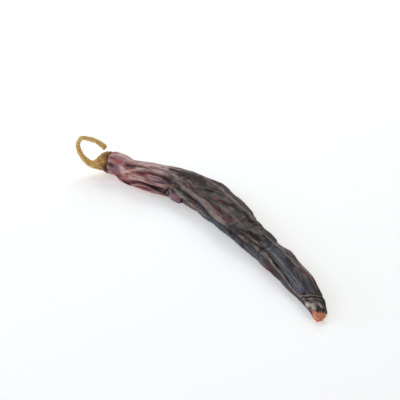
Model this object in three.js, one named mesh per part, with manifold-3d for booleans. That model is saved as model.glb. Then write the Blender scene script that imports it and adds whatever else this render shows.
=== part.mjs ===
// One dried chilli lying on a table: a long, collapsed, leathery pod with its calyx and curled stem.
// Millimetres, +Z up, +X from the stem end towards the tip. The table is z = 0, and the origin is the
// middle of the footprint.
import * as THREE from "three";
import Module from "manifold-3d";

// ---- driving dimensions -----------------------------------------------------------------------
const podChord = 137.3; // distance along X from the calyx seat to the tip
const podWidth = 21.2; // full width where the pod is widest
const podHeight = 12; // height of the shoulder's crests above the table
const seatRadius = 5.2; // the round end that the calyx sits on
const seatHeight = 6.8; // its middle above the table
const seatFade = 0.11; // share of the length over which the round end turns into folds
const seatRound = 0.02; // share of the length over which the seat end rounds off
const tipRound = 0.012; // the same at the tip
const tipHeight = 1.5;
const calyxGap = 0.35; // clearance between the calyx and the pod
const stemRadius = 1.1;

// Middle line of the pod seen from above: station along it, then x as a share of the chord and y in mm.
const middleLine = [
  [0.0, 0.0, 0.0],
  [0.05, 0.045, 3.4],
  [0.12, 0.114, 6.6],
  [0.22, 0.204, 13.6],
  [0.34, 0.32, 20.2],
  [0.46, 0.444, 20.3],
  [0.6, 0.59, 17.0],
  [0.75, 0.75, 13.7],
  [0.9, 0.91, 9.9],
  [1.0, 1.0, 3.8],
];
// Half width as a share of podWidth / 2.
const halfWidths = [
  [0.0, 0.47],
  [0.1, 0.74],
  [0.2, 0.87],
  [0.32, 1.0],
  [0.44, 0.96],
  [0.53, 0.88],
  [0.62, 0.7],
  [0.82, 0.585],
  [0.92, 0.42],
  [1.0, 0.26],
];

// The folds that run along the collapsed pod, in order round it, with the +Y side first. Each run is
// station, place across as a share of the half width, and height as a share of podHeight; what would
// lie under the table is pressed flat on it. The panel from a fold to the next one sags by so many mm.
// At the seat the folds start from the round end, at their own angle in degrees.
const folds = [
  {
    name: "far edge",
    seatAngle: 0,
    run: [[0.05, 1, 0.55], [0.25, 1, 0.47], [0.5, 1, 0.43], [0.75, 1, 0.46], [0.86, 1, 0.44],
      [0.93, 1, 0.34], [1, 1, 0.15]],
    sag: [[0.05, 0], [0.3, 0.4], [0.7, 0.3], [0.93, 0.2], [1, 0]],
    steps: 4,
  },
  {
    name: "far crest",
    seatAngle: 50,
    run: [[0.05, 0.5, 0.92], [0.25, 0.6, 0.78], [0.5, 0.6, 0.68], [0.7, 0.45, 0.66], [0.81, 0.28, 0.63],
      [0.86, 0, 0.6], [0.905, -0.4, 0.53], [1, 0.2, 0.24]],
    sag: [[0.05, 0.2], [0.2, 0.9], [0.45, 0.9], [0.6, 1.1], [0.75, 1.7], [0.86, 0.9], [0.91, 0.1],
      [1, 0.1]],
    steps: 7,
  },
  {
    name: "long crest",
    seatAngle: 95,
    run: [[0.05, -0.1, 1], [0.24, -0.08, 0.92], [0.34, -0.48, 0.83], [0.46, -0.66, 0.75],
      [0.6, -0.62, 0.72], [0.72, -0.42, 0.67], [0.82, -0.48, 0.57], [0.91, -0.66, 0.46], [1, -0.2, 0.26]],
    sag: [[0.05, 0.4], [0.22, 0.8], [0.35, 0.4], [0.5, 0.25], [0.7, 0.5], [0.9, 0.35], [1, 0]],
    steps: 3,
  },
  {
    name: "near crest",
    seatAngle: 135,
    run: [[0.05, -0.6, 0.83], [0.2, -0.66, 0.63], [0.3, -0.84, 0.48], [0.42, -0.86, 0.6],
      [0.6, -0.78, 0.64], [0.72, -0.66, 0.62], [0.82, -0.72, 0.52], [0.91, -0.88, 0.4], [1, -0.55, 0.23]],
    sag: [[0.05, 0.9], [0.2, 1.1], [0.3, 0.7], [0.45, 0.7], [0.7, 0.8], [0.9, 0.2], [1, 0.1]],
    steps: 4,
  },
  {
    name: "near edge",
    seatAngle: 180,
    run: [[0.05, -1, 0.2], [0.13, -1, 0.24], [0.25, -1, 0.28], [0.5, -1, 0.25], [0.75, -1, 0.25],
      [0.93, -1, 0.18], [1, -1, 0.11]],
    sag: [[0.05, 0.2], [0.3, 0.7], [0.7, 0.7], [1, 0.1]],
    steps: 4,
  },
  {
    name: "near sole",
    seatAngle: 235,
    run: [[0.05, -0.5, 0.1], [0.2, -0.55, -0.08], [0.5, -0.62, -0.08], [0.8, -0.55, -0.07],
      [1, -0.45, -0.04]],
    sag: [[0.05, 0.5], [0.25, 1.4], [0.6, 1.4], [0.9, 0.8], [1, 0.1]],
    steps: 6,
  },
  {
    name: "far sole",
    seatAngle: 305,
    run: [[0.05, 0.55, 0.13], [0.2, 0.55, -0.06], [0.5, 0.6, -0.06], [0.8, 0.5, -0.06], [1, 0.45, -0.03]],
    sag: [[0.05, 0.2], [0.3, 0.8], [0.7, 0.7], [1, 0.1]],
    steps: 5,
  },
];
const foldNamed = (wanted) => folds.findIndex(({ name }) => name === wanted);
const nearEdge = foldNamed("near edge"); // the panels before this fold face up, the others down

// Folds wander by a little as they run: size in mm and waves along the whole pod.
const wander = { across: 0.3, height: 0.22, slow: 31, quick: 67, perFold: 2.3 };

// Hollows in the skin: station, share of the half width, then their size and depth in mm.
const topDents = {
  neck: { at: 0.09, share: 0.35, long: 5, wide: 1.8, depth: 0.9 },
  shoulderEye: { at: 0.215, share: -0.32, long: 7, wide: 1.9, depth: 1.5 },
  farShoulder: { at: 0.3, share: 0.35, long: 6, wide: 2.4, depth: 1.3 },
  upperFace: { at: 0.39, share: 0.0, long: 5, wide: 2.6, depth: 1.0 },
  middleFace: { at: 0.47, share: 0.35, long: 4.2, wide: 2.0, depth: 1.1 },
  lowerFace: { at: 0.52, share: -0.2, long: 6, wide: 2.4, depth: 1.0 },
  farFace: { at: 0.6, share: 0.45, long: 4.5, wide: 1.8, depth: 0.8 },
};
const soleDents = {
  shoulder: { at: 0.22, share: 0.1, long: 8, wide: 3.0, depth: 1.2 },
  middle: { at: 0.5, share: -0.1, long: 7, wide: 3.0, depth: 0.9 },
  tail: { at: 0.72, share: 0.1, long: 7, wide: 2.2, depth: 0.8 },
};
// Where an edge is pinched in, or folded out: how far, and over what length before and after the point.
const tucks = {
  pinch: { edge: "near edge", at: 0.25, out: -1.6, before: 3.2, after: 2.2 },
  flap: { edge: "near edge", at: 0.312, out: 1.2, before: 6.5, after: 1.6 },
  farBulge: { edge: "far edge", at: 0.54, out: 1.2, before: 6, after: 3 },
  tailBulge: { edge: "far edge", at: 0.742, out: 1.9, before: 5, after: 16 },
  tailCorner: { edge: "far edge", at: 0.922, out: 1.1, before: 5, after: 3.5 },
};
const tuckReach = 0.4; // how far a tuck reaches into the panels beside it, as a share of a panel
// Pleats that run into the pod from under the calyx.
const pleats = { count: 11, height: 0.6, fade: 0.07 };

// Middle line of the calyx and stem, from inside the pod's shoulder to the cut end of the stem.
const stemLine = [
  [1.4, 0.7, 6.8],
  [0.0, -0.1, 6.5],
  [-1.6, -1.3, 5.9],
  [-3.2, -2.9, 5.2],
  [-4.8, -4.7, 4.9],
  [-6.6, -6.3, 5.9],
  [-9.7, -8.0, 9.6],
  [-11.7, -8.2, 14.2],
  [-11.0, -6.6, 17.9],
  [-9.5, -5.5, 18.7],
  [-5.0, -2.4, 18.0],
  [-1.7, -0.4, 15.8],
  [-0.8, 0.1, 14.9],
];
// Radius along that line: station, then the half width and half height.
const stemWidths = [
  [0.0, 6.0, 5.9],
  [0.04, 5.8, 5.7],
  [0.065, 5.2, 5.1],
  [0.092, 4.5, 4.35],
  [0.125, 3.65, 3.5],
  [0.161, 2.9, 2.8],
  [0.225, 2.05, 1.95],
  [0.29, 1.7, 1.6],
  [0.36, 1.45, 1.4],
  [0.45, stemRadius, stemRadius],
  [0.85, stemRadius, stemRadius * 0.95],
  [0.93, stemRadius * 1.2, stemRadius * 1.15],
  [1.0, stemRadius * 1.2, stemRadius * 1.15],
];
const calyxLobes = { count: 5, length: 0.5, reach: 0.11 };

// ---- helpers ----------------------------------------------------------------------------------

// Smooth curve through keys [station, value, value, ...], read off at one station.
function along(keys, station, column = 1) {
  let i = 0;
  while (i < keys.length - 2 && station > keys[i + 1][0]) i++;
  const slope = (a, b) => (keys[b][column] - keys[a][column]) / (keys[b][0] - keys[a][0]);
  const [left, right] = [keys[i], keys[i + 1]];
  const step = right[0] - left[0];
  const slopeIn = i > 0 ? slope(i - 1, i + 1) : slope(i, i + 1);
  const slopeOut = i < keys.length - 2 ? slope(i, i + 2) : slope(i, i + 1);
  const t = THREE.MathUtils.clamp((station - left[0]) / step, 0, 1);
  const t2 = t * t;
  const t3 = t2 * t;
  return (
    (2 * t3 - 3 * t2 + 1) * left[column] +
    (t3 - 2 * t2 + t) * step * slopeIn +
    (3 * t2 - 2 * t3) * right[column] +
    (t3 - t2) * step * slopeOut
  );
}

// Closed tube mesh from rings of points, with a pole point at each end.
function tubeGeometry(rings, firstPole, lastPole) {
  const around = rings[0].length;
  const points = [firstPole, ...rings.flat(), lastPole];
  const index = [];
  const corner = (ring, k) => 1 + ring * around + (k % around);
  for (let k = 0; k < around; k++) {
    index.push(0, corner(0, k + 1), corner(0, k));
    for (let ring = 0; ring < rings.length - 1; ring++) {
      const [a, b] = [corner(ring, k), corner(ring, k + 1)];
      const [c, d] = [corner(ring + 1, k), corner(ring + 1, k + 1)];
      index.push(a, b, d, a, d, c);
    }
    index.push(points.length - 1, corner(rings.length - 1, k), corner(rings.length - 1, k + 1));
  }
  return new THREE.BufferGeometry().setFromPoints(points).setIndex(index);
}

// ---- pod --------------------------------------------------------------------------------------

const { degToRad, lerp, smoothstep } = THREE.MathUtils;

function middle(station) {
  return new THREE.Vector2(podChord * along(middleLine, station, 1), along(middleLine, station, 2));
}

// Where one fold crosses the section at a station: x across the pod, y up.
function foldPoint(index, station) {
  const { run } = folds[index];
  const halfWidth = (podWidth / 2) * along(halfWidths, station);
  const wave = (shift) =>
    Math.sin(wander.slow * station + wander.perFold * index + shift) +
    0.6 * Math.sin(wander.quick * station + 2 * wander.perFold * index + shift);
  return new THREE.Vector2(
    halfWidth * along(run, station, 1) + wander.across * wave(0),
    podHeight * along(run, station, 2) + (index < nearEdge ? wander.height * wave(2) : 0),
  );
}

// The folded section: turn counts the folds, so 2.5 is half way from fold 2 to fold 3.
function foldedPoint(station, turn) {
  const index = Math.floor(turn) % folds.length;
  const share = turn - Math.floor(turn);
  const from = foldPoint(index, station);
  const to = foldPoint((index + 1) % folds.length, station);
  const chord = to.clone().sub(from);
  const outward = new THREE.Vector2(chord.y, -chord.x).normalize();
  const sag = 4 * share * (1 - share) * along(folds[index].sag, station);
  return from.addScaledVector(chord, share).addScaledVector(outward, -sag);
}

function roundPoint(station, turn) {
  const index = Math.floor(turn) % folds.length;
  const next = folds[index + 1]?.seatAngle ?? 360;
  const angle = degToRad(lerp(folds[index].seatAngle, next, turn - Math.floor(turn)));
  const pleat = pleats.height * Math.exp(-station / pleats.fade) * smoothstep(station, 0, 0.03);
  const radius = seatRadius + pleat * Math.cos(pleats.count * angle);
  return new THREE.Vector2(radius * Math.cos(angle), seatHeight + radius * Math.sin(angle));
}

// How far the dents push the skin up or down at a place.
function hollow(station, turn, across) {
  const halfWidth = (podWidth / 2) * along(halfWidths, station);
  let depth = 0;
  for (const dent of Object.values(turn < nearEdge ? topDents : soleDents)) {
    const run = ((station - dent.at) * podChord) / dent.long;
    const off = (across - dent.share * halfWidth) / dent.wide;
    depth += dent.depth * Math.exp(-run * run - off * off);
  }
  const fromEdge = Math.min(turn, Math.abs(turn - nearEdge), folds.length - turn);
  return (turn < nearEdge ? -depth : depth) * Math.min(1, 2 * fromEdge);
}

// A tuck rises along its edge to a point, then falls back; +Y is outwards on the far side.
function tuckOut(station, turn) {
  let out = 0;
  for (const { edge, at, out: reach, before, after } of Object.values(tucks)) {
    const fold = foldNamed(edge);
    const run = (station - at) * podChord;
    const rise = Math.max(0, 1 - (run < 0 ? -run / before : run / after));
    const away = Math.min(Math.abs(turn - fold), folds.length - Math.abs(turn - fold));
    out += (fold === nearEdge ? -reach : reach) * rise * Math.exp(-away / tuckReach);
  }
  return out;
}

// The pod's skin at a station and turn; swell moves the whole skin outwards.
function podPoint(station, turn, swell = 0) {
  const folded = smoothstep(station, 0, seatFade);
  const section = roundPoint(station, turn).lerp(foldedPoint(station, turn), folded);
  section.y += hollow(station, turn, section.x);
  section.x += tuckOut(station, turn);
  const core = new THREE.Vector2(0, lerp(seatHeight, tipHeight, smoothstep(station, 0.5, 1)));
  const seat = Math.min(1, station / seatRound);
  const tip = Math.min(1, (1 - station) / tipRound);
  const rounding = Math.sqrt(1 - (1 - seat) ** 2) * Math.sqrt(1 - (1 - tip) ** 2);
  const spoke = section.sub(core);
  spoke.setLength(spoke.length() * rounding + swell).add(core);
  const step = 0.004;
  const ahead = middle(Math.min(1, station + step)).sub(middle(Math.max(0, station - step))).normalize();
  const { x, y } = middle(station).add(new THREE.Vector2(-ahead.y, ahead.x).multiplyScalar(spoke.x));
  return new THREE.Vector3(x, y, spoke.y);
}

// Stations of the pod's rings: even along the body, closer together where the ends round off.
function podStations(count, endRings) {
  const stations = [];
  const quarter = (i) => 1 - Math.cos((Math.PI / 2) * (i / endRings));
  for (let i = 1; i <= endRings; i++) stations.push(seatRound * quarter(i));
  for (let i = 1; i < count; i++) stations.push(seatRound + (1 - seatRound - tipRound) * (i / count));
  for (let i = endRings; i >= 1; i--) stations.push(1 - tipRound * quarter(i));
  return stations;
}

function podGeometry({ count, endRings, swell, floor }) {
  const drop = (point) => (floor ? point.setZ(Math.max(0, point.z)) : point);
  const turns = folds.flatMap(({ steps }, index) =>
    Array.from({ length: steps }, (_, k) => index + k / steps),
  );
  const rings = podStations(count, endRings).map((station) =>
    turns.map((turn) => drop(podPoint(station, turn, swell))),
  );
  const pole = (end, inside, height) => {
    const at = middle(end).add(middle(end).sub(middle(inside)).setLength(swell));
    return new THREE.Vector3(at.x, at.y, height);
  };
  return tubeGeometry(rings, pole(0, 0.01, seatHeight), pole(1, 0.99, tipHeight));
}

// ---- calyx and stem ---------------------------------------------------------------------------

function stemGeometry({ count, around }) {
  const line = new THREE.CatmullRomCurve3(stemLine.map((point) => new THREE.Vector3(...point)));
  const up = new THREE.Vector3(0, 0, 1);
  let sideways = up.clone().cross(line.getTangentAt(0)).normalize();
  const rings = [];
  for (let ring = 0; ring <= count; ring++) {
    const station = (ring / count) ** 1.15;
    const middle = line.getPointAt(station);
    const tangent = line.getTangentAt(station);
    sideways = sideways.addScaledVector(tangent, -sideways.dot(tangent)).normalize();
    const upwards = tangent.clone().cross(sideways);
    const halfWidth = along(stemWidths, station, 1);
    const halfHeight = along(stemWidths, station, 2);
    const lobe = calyxLobes.length * (1 - smoothstep(station, 0, calyxLobes.reach));
    const points = [];
    for (let k = 0; k < around; k++) {
      const angle = (2 * Math.PI * k) / around;
      points.push(
        middle
          .clone()
          .addScaledVector(sideways, halfWidth * Math.cos(angle))
          .addScaledVector(upwards, halfHeight * Math.sin(angle))
          .addScaledVector(tangent, -lobe * Math.cos(calyxLobes.count * angle)),
      );
    }
    rings.push(points);
  }
  return tubeGeometry(rings, line.getPointAt(0), line.getPointAt(1));
}

const wasm = await Module();
wasm.setup();

function toManifold(geometry) {
  const mesh = new wasm.Mesh({
    numProp: 3,
    vertProperties: geometry.attributes.position.array,
    triVerts: new Uint32Array(geometry.index.array),
  });
  return new wasm.Manifold(mesh);
}

function toGeometry(manifold) {
  const { vertProperties, triVerts } = manifold.getMesh();
  const geometry = new THREE.BufferGeometry();
  geometry.setAttribute("position", new THREE.BufferAttribute(vertProperties, 3));
  geometry.setIndex(new THREE.BufferAttribute(triVerts, 1));
  return geometry;
}

// The calyx is a cup: its inside is the pod's own shoulder, moved out by the clearance.
function calyxAndStemGeometry() {
  const whole = toManifold(stemGeometry({ count: 54, around: 20 }));
  const shoulder = toManifold(
    podGeometry({ count: 60, endRings: 6, swell: calyxGap, floor: false }),
  );
  return toGeometry(whole.subtract(shoulder));
}

// ---- the chilli -------------------------------------------------------------------------------

const podSkin = new THREE.MeshStandardMaterial({ color: 0x2a0f12, roughness: 0.35, metalness: 0 });
const stemBark = new THREE.MeshStandardMaterial({ color: 0xb88a4a, roughness: 0.8, metalness: 0 });

function namedMesh(name, geometry, material) {
  geometry.computeVertexNormals();
  const mesh = new THREE.Mesh(geometry, material);
  mesh.name = name;
  return mesh;
}

const chilli = new THREE.Group();
const pod = podGeometry({ count: 100, endRings: 5, swell: 0, floor: true });
chilli.add(namedMesh("pod", pod, podSkin));
chilli.add(namedMesh("calyx_and_stem", calyxAndStemGeometry(), stemBark));

const bounds = new THREE.Box3().setFromObject(chilli, true);
const footprint = bounds.getCenter(new THREE.Vector3());
chilli.position.set(-footprint.x, -footprint.y, 0);

export default chilli;
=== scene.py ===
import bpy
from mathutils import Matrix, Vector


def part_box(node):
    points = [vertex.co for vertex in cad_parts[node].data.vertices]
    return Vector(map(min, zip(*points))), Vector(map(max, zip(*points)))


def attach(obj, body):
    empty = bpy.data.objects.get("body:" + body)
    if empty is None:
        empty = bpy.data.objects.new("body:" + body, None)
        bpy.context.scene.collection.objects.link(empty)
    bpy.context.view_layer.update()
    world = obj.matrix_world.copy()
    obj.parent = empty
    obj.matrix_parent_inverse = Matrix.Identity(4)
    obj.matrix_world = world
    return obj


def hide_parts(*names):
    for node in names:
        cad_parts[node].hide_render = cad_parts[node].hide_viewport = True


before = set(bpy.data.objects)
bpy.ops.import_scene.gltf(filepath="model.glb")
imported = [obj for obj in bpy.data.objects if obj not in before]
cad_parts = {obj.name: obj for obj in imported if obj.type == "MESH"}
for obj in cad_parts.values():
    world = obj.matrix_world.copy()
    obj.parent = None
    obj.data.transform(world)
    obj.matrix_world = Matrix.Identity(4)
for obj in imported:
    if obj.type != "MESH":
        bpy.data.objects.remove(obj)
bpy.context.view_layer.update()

import copy
import math

import bpy
import numpy as np
from mathutils import Matrix, Vector, noise

mm = 0.001
seed = 5


# reads a smooth curve through keys [station, value, ...] at an array of stations
def along(keys, station, column=1):
    table = np.array(keys, float)
    place, value = table[:, 0], table[:, column]
    slope = np.empty(len(table))
    slope[1:-1] = (value[2:] - value[:-2]) / (place[2:] - place[:-2])
    slope[0] = (value[1] - value[0]) / (place[1] - place[0])
    slope[-1] = (value[-1] - value[-2]) / (place[-1] - place[-2])
    left = np.clip(np.searchsorted(place, station) - 1, 0, len(table) - 2)
    step = place[left + 1] - place[left]
    t = np.clip((station - place[left]) / step, 0, 1)
    rise = (2 * t**3 - 3 * t**2 + 1) * value[left] + (3 * t**2 - 2 * t**3) * value[left + 1]
    return rise + step * ((t**3 - 2 * t**2 + t) * slope[left] + (t**3 - t**2) * slope[left + 1])


# the same for every column after the first
def alongAll(keys, station):
    return np.stack([along(keys, station, column) for column in range(1, len(keys[0]))], -1)


def smoothStep(x, start, end):
    t = np.clip((x - start) / (end - start), 0, 1)
    return t * t * (3 - 2 * t)


def bell(x, middle, wide):  # 1 at the middle, near 0 two widths away
    return np.exp(-((x - middle) / wide)**2)


def unit(vectors):
    return vectors / np.maximum(np.linalg.norm(vectors, axis=-1, keepdims=True), 1e-9)


# the points of a closed tube: first pole, rings, last pole
def tubeRows(rings, first, last):
    return np.vstack([first, rings.reshape(-1, 3), last])


# one number for each of those points
def tubeValues(rings, first, last):
    return np.concatenate([[first], rings.ravel(), [last]])


def addObject(name, data):
    made = bpy.data.objects.new(name, data)
    bpy.context.scene.collection.objects.link(made)
    return made


def addTube(name, rows, count, around, size=mm):
    spot = np.arange(around)
    after = (spot + 1) % around
    ring = 1 + around * np.arange(count - 1)[:, None]
    quads = np.stack([ring + spot, ring + after, ring + around + after, ring + around + spot], -1)
    last = 1 + around * (count - 1)
    firstCap = np.stack([np.zeros(around, int), after + 1, spot + 1], -1)
    lastCap = np.stack([np.full(around, len(rows) - 1), last + spot, last + after], -1)
    mesh = bpy.data.meshes.new(name)
    faces = quads.reshape(-1, 4).tolist() + firstCap.tolist() + lastCap.tolist()
    mesh.from_pydata((rows * size).tolist(), [], faces)
    mesh.polygons.foreach_set("use_smooth", [True] * len(mesh.polygons))
    return addObject(name, mesh)


def readRows(items, key, width):
    flat = np.empty(width * len(items), np.float32)
    items.foreach_get(key, flat)
    return flat.reshape(-1, width).astype(float)


def readPoints(mesh, size=mm):
    return readRows(mesh.vertices, "co", 3) / size


def readNormals(mesh):
    return readRows(mesh.vertex_normals, "vector", 3)


def setPoints(mesh, points):
    mesh.vertices.foreach_set("co", (points * mm).ravel())
    mesh.update()


def addMask(mesh, name, values):
    mesh.attributes.new(name, "FLOAT", "POINT").data.foreach_set("value", values)


def readMask(mesh, name):
    return readRows(mesh.attributes[name].data, "value", 1)[:, 0]


def evaluatedMesh(piece):
    depsgraph = bpy.context.evaluated_depsgraph_get()
    return bpy.data.meshes.new_from_object(piece.evaluated_get(depsgraph), depsgraph=depsgraph)


def ridged(points, scale, stretch):
    return np.array([1 - 2 * abs(noise.noise(Vector((p[0] * scale / stretch, p[1] * scale, p[2] * scale))))
                     for p in points])


view = {
    "azimuth": 47.9,  # looks this far round from +Y
    "elevation": 40.0,
    "seatDepth": 436.1,  # mm in front of the camera
    "seatUp": 6,  # mm above the ground
    "lens": 80,
    "seatPixel": (107, 163),  # where the calyx seat shows in the 400 x 400 frame
    "frame": 400,
    "sensor": 36,
}

# millimetres; every station runs from 0 at the calyx seat to 1 at the tip
pod = {
    "chord": 137.3,
    "length": 144,
    "width": 21.2,
    "height": 12,
    "seatRadius": 5.2,
    "seatHeight": 6.8,
    "seatFade": 0.11,
    "seatRound": 0.02,
    "tipRound": 0.012,
    "tipHeight": 1.5,
    "middleLine": [[0, 0, 0], [0.05, 0.045, 3.4], [0.12, 0.114, 6.6], [0.22, 0.204, 13.6],
                   [0.34, 0.32, 20.2], [0.46, 0.444, 20.3], [0.6, 0.59, 17.0], [0.75, 0.75, 13.7],
                   [0.9, 0.91, 9.9], [1, 1, 3.8]],
    "halfWidths": [[0, 0.47], [0.1, 0.74], [0.2, 0.87], [0.32, 1], [0.44, 0.96], [0.53, 0.88],
                   [0.62, 0.7], [0.82, 0.585], [0.92, 0.42], [1, 0.26]],
    "rings": 230,
    "endRings": 6,
    "finer": 3,  # columns for each step of a panel
    "rounding": 1,  # passes that soften the fold lines
}
# folds in order round the pod: station, share of the half width, share of the height; the panel that
# follows each one sags by so many mm
folds = {
    "farEdge": {"seatAngle": 0, "steps": 4,
        "run": [[0.05, 1, 0.55], [0.25, 1, 0.47], [0.5, 1, 0.43], [0.75, 1, 0.46], [0.86, 1, 0.44],
                [0.93, 1, 0.34], [1, 1, 0.15]],
        "sag": [[0.05, 0], [0.3, 0.4], [0.7, 0.3], [0.93, 0.2], [1, 0]]},
    "farCrest": {"seatAngle": 50, "steps": 7,
        "run": [[0.05, 0.5, 0.92], [0.25, 0.6, 0.78], [0.5, 0.6, 0.68], [0.7, 0.45, 0.66],
                [0.81, 0.28, 0.63], [0.86, 0, 0.6], [0.905, -0.4, 0.53], [1, 0.2, 0.24]],
        "sag": [[0.05, 0.2], [0.2, 0.9], [0.45, 0.9], [0.6, 1.1], [0.75, 1.7], [0.86, 0.9], [0.91, 0.1],
                [1, 0.1]]},
    "longCrest": {"seatAngle": 95, "steps": 3,
        "run": [[0.05, -0.1, 1], [0.24, -0.08, 0.92], [0.34, -0.48, 0.83], [0.46, -0.66, 0.75],
                [0.6, -0.62, 0.72], [0.72, -0.42, 0.67], [0.82, -0.48, 0.57], [0.91, -0.66, 0.46],
                [1, -0.2, 0.26]],
        "sag": [[0.05, 0.4], [0.22, 0.8], [0.35, 0.4], [0.5, 0.25], [0.7, 0.5], [0.9, 0.35], [1, 0]]},
    "nearCrest": {"seatAngle": 135, "steps": 4,
        "run": [[0.05, -0.6, 0.83], [0.2, -0.66, 0.63], [0.3, -0.84, 0.48], [0.42, -0.86, 0.6],
                [0.6, -0.78, 0.64], [0.72, -0.66, 0.62], [0.82, -0.72, 0.52], [0.91, -0.88, 0.4],
                [1, -0.55, 0.23]],
        "sag": [[0.05, 0.9], [0.2, 1.1], [0.3, 0.7], [0.45, 0.7], [0.7, 0.8], [0.9, 0.2], [1, 0.1]]},
    "nearEdge": {"seatAngle": 180, "steps": 4,
        "run": [[0.05, -1, 0.2], [0.13, -1, 0.24], [0.25, -1, 0.28], [0.5, -1, 0.25], [0.75, -1, 0.25],
                [0.93, -1, 0.18], [1, -1, 0.11]],
        "sag": [[0.05, 0.2], [0.3, 0.7], [0.7, 0.7], [1, 0.1]]},
    "nearSole": {"seatAngle": 235, "steps": 6,
        "run": [[0.05, -0.5, 0.1], [0.2, -0.55, -0.08], [0.5, -0.62, -0.08], [0.8, -0.55, -0.07],
                [1, -0.45, -0.04]],
        "sag": [[0.05, 0.5], [0.25, 1.4], [0.6, 1.4], [0.9, 0.8], [1, 0.1]]},
    "farSole": {"seatAngle": 305, "steps": 5,
        "run": [[0.05, 0.55, 0.13], [0.2, 0.55, -0.06], [0.5, 0.6, -0.06], [0.8, 0.5, -0.06],
                [1, 0.45, -0.03]],
        "sag": [[0.05, 0.2], [0.3, 0.8], [0.7, 0.7], [1, 0.1]]},
}
foldNames = list(folds)
nearEdge = foldNames.index("nearEdge")
topFold = foldNames.index("longCrest")
bottomTurn = 5.5  # half way round the underside
wander = {"across": 0.3, "height": 0.22, "slow": 31, "quick": 67, "perFold": 2.3}
# small pulls in or out of an edge: edge, station, mm out, and the mm before and after that it takes
tucks = {
    "pinch": ("nearEdge", 0.25, -1.6, 3.2, 2.2),
    "flap": ("nearEdge", 0.312, 1.2, 6.5, 1.6),
    "farBulge": ("farEdge", 0.54, 1.2, 6, 3),
    "tailBulge": ("farEdge", 0.742, 1.9, 5, 16),
    "tailCorner": ("farEdge", 0.922, 1.1, 5, 3.5),
}
tuckReach = 0.4  # turns over which a tuck fades out
pleats = {"count": 11, "height": 0.6, "fade": 0.07}

# places on the skin are (station, turn), where turn 2.5 is half way from fold 2 to fold 3
hollowShape = {"edge": (1.2, 0.35), "rimAt": 1.3, "rimWide": 0.2}  # shares of the hollow's size
# place, mm long, mm wide, mm deep (below 0 for a lump), mm of rim
hollows = {
    "neck": ((0.09, 1.6), 6, 2, 0.42, 0.06),
    "eye": ((0.2, 2.72), 6.6, 1.7, 0.35, 0.12),
    "farShoulder": ((0.288, 1.4), 6.2, 3, 0.78, 0.12),
    "firstPatch": ((0.357, 1.78), 5.4, 2.1, 0.48, 0.06),
    "secondPatch": ((0.45, 1.84), 4.6, 1.9, 0.54, 0.12),
    "thirdPatch": ((0.525, 1.77), 6, 1.9, 0.54, 0.12),
    "upperLump": ((0.432, 1.34), 4.2, 2.4, -0.42, 0),
    "farHollow": ((0.465, 0.8), 5, 2.2, 0.42, 0.06),
    "farLump": ((0.553, 1), 6.6, 2.8, -0.54, 0),
    "lowerHollow": ((0.642, 1.66), 4.6, 1.8, 0.6, 0.12),
    "soleShoulder": ((0.22, 5.6), 8, 3, 0.72, 0.06),
    "soleMiddle": ((0.5, 5.4), 7, 3, 0.54, 0.06),
    "soleTail": ((0.72, 5.6), 7, 2.2, 0.48, 0.06),
}
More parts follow.
